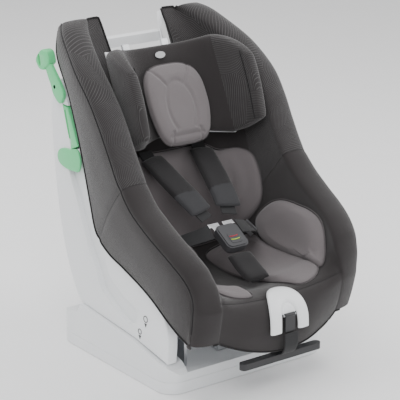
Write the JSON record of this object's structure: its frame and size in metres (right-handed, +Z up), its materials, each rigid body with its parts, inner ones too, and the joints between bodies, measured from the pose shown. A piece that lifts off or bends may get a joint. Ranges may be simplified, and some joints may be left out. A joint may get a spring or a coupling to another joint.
{
  "type": "convertible car seat",
  "caption": "Child car seat on a base frame: a reclining padded bucket, a height-adjustable headrest, a five-point harness with buckle and belt lock-offs.",
  "frame": {"origin": "centre of the base's flat underside", "axes": "+Z up, the seat faces -Y, +X to the seat's left as the child sits"},
  "size_m": [0.4566, 0.574, 0.6654],
  "materials": {
    "base_white": "satin moulded polypropylene",
    "shell_white": "satin moulded shell",
    "guide_green": "satin",
    "mark_black": "raised marks",
    "rail_steel": "zinc plated",
    "bolt_steel": "zinc plated",
    "foam": "expanded foam liner",
    "cover_black": "woven polyester cover, wave pattern on its upper part",
    "insert_grey": "soft padded insert",
    "webbing": "woven harness webbing",
    "pad_black": "mesh backed harness pad",
    "buckle_plastic": "moulded buckle body",
    "button_red": "release button",
    "tongue_steel": "plated tongue",
    "lever_black": "moulded lever",
    "badge_grey": "blank oval label"
  },
  "bodies": {
    "base": {"base_tray": "base_white", "base_shell": "base_white", "side_frame_left": "base_white", "side_frame_right": "base_white", "frame_cheek_left": "base_white", "frame_cheek_right": "base_white", "rear_brace": "base_white", "recline_rail_left": "rail_steel", "recline_rail_right": "rail_steel", "recline_rack": "rail_steel", "belt_guide_left": "guide_green", "belt_guide_right": "guide_green", "lockoff_pin_left": "bolt_steel", "lockoff_pin_right": "bolt_steel", "orientation_marks": "mark_black", "base_screws": "bolt_steel"},
    "seat": {"seat_shell": "shell_white", "foam_liner": "foam", "seat_cover": "cover_black", "top_rail": "shell_white", "slider_bracket": "shell_white", "slider_axles": "bolt_steel", "headrest_rails": "rail_steel", "body_cushion": "insert_grey", "seat_cushion": "insert_grey", "hip_wings": "insert_grey", "shoulder_strap_left": "webbing", "shoulder_strap_right": "webbing", "shoulder_pad_left": "pad_black", "shoulder_pad_right": "pad_black", "lap_strap_left": "webbing", "lap_strap_right": "webbing", "hip_anchors": "bolt_steel", "buckle_body": "buckle_plastic", "buckle_tongues": "tongue_steel", "crotch_strap": "webbing", "crotch_pad": "pad_black", "adjuster_housing": "shell_white", "adjuster_pin": "bolt_steel", "adjuster_strap": "webbing", "splitter_plate": "bolt_steel"},
    "lockoff_left": {"lockoff_left": "guide_green", "belt_hook_left": "guide_green"},
    "lockoff_right": {"lockoff_right": "guide_green", "belt_hook_right": "guide_green"},
    "headrest": {"headrest_frame": "shell_white", "headrest_cover": "cover_black", "head_pillow": "insert_grey", "badge": "badge_grey", "headrest_sliders": "shell_white"},
    "headrest_handle": {"headrest_handle": "shell_white"},
    "headrest_lock": {"headrest_lock_bar": "bolt_steel"},
    "recline_handle": {"recline_handle": "lever_black"},
    "recline_bolt": {"recline_bolt": "bolt_steel"},
    "adjuster_lever": {"adjuster_lever": "lever_black"},
    "buckle_button": {"buckle_button": "button_red"}
  },
  "joints": [
    {"name": "recline", "type": "hinge", "parent": "base", "child": "seat", "pos_m": [0, -0.03, 0.43], "axis": [1, 0, 0], "range_deg": [0, 10]},
    {"name": "lockoff_left_hinge", "type": "hinge", "parent": "base", "child": "lockoff_left", "pos_m": [-0.192, 0.185, 0.54], "axis": [-1, 0, 0], "range_deg": [0, 35]},
    {"name": "lockoff_right_hinge", "type": "hinge", "parent": "base", "child": "lockoff_right", "pos_m": [0.192, 0.185, 0.54], "axis": [-1, 0, 0], "range_deg": [0, 35]},
    {"name": "headrest_slide", "type": "slide", "parent": "seat", "child": "headrest", "axis": [0, 0.4384, 0.8988], "range_m": [0, 0.13]},
    {"name": "headrest_handle_pull", "type": "slide", "parent": "headrest", "child": "headrest_handle", "axis": [0, 0.4384, 0.8988], "range_m": [0, 0.008], "stiffness_N_per_m": 400},
    {"name": "headrest_lock_slide", "type": "slide", "parent": "headrest", "child": "headrest_lock", "axis": [0, -0.8988, 0.4384], "range_m": [0, 0.004]},
    {"name": "recline_handle_pull", "type": "slide", "parent": "seat", "child": "recline_handle", "axis": [0, -1, 0], "range_m": [0, 0.015], "stiffness_N_per_m": 500},
    {"name": "recline_bolt_lift", "type": "slide", "parent": "seat", "child": "recline_bolt", "axis": [0, 0, 1], "range_m": [0, 0.008]},
    {"name": "adjuster_press", "type": "hinge", "parent": "seat", "child": "adjuster_lever", "pos_m": [0, -0.315, 0.164], "axis": [-1, 0, 0], "range_deg": [0, 12], "stiffness_Nm_per_rad": 0.2},
    {"name": "buckle_press", "type": "slide", "parent": "seat", "child": "buckle_button", "axis": [0, 0.521, -0.8536], "range_m": [0, 0.004], "stiffness_N_per_m": 1500}
  ],
  "couplings": [
    {"joint": "headrest_lock_slide", "follows": "headrest_handle_pull", "ratio": 0.5},
    {"joint": "recline_bolt_lift", "follows": "recline_handle_pull", "ratio": 0.5333}
  ]
}
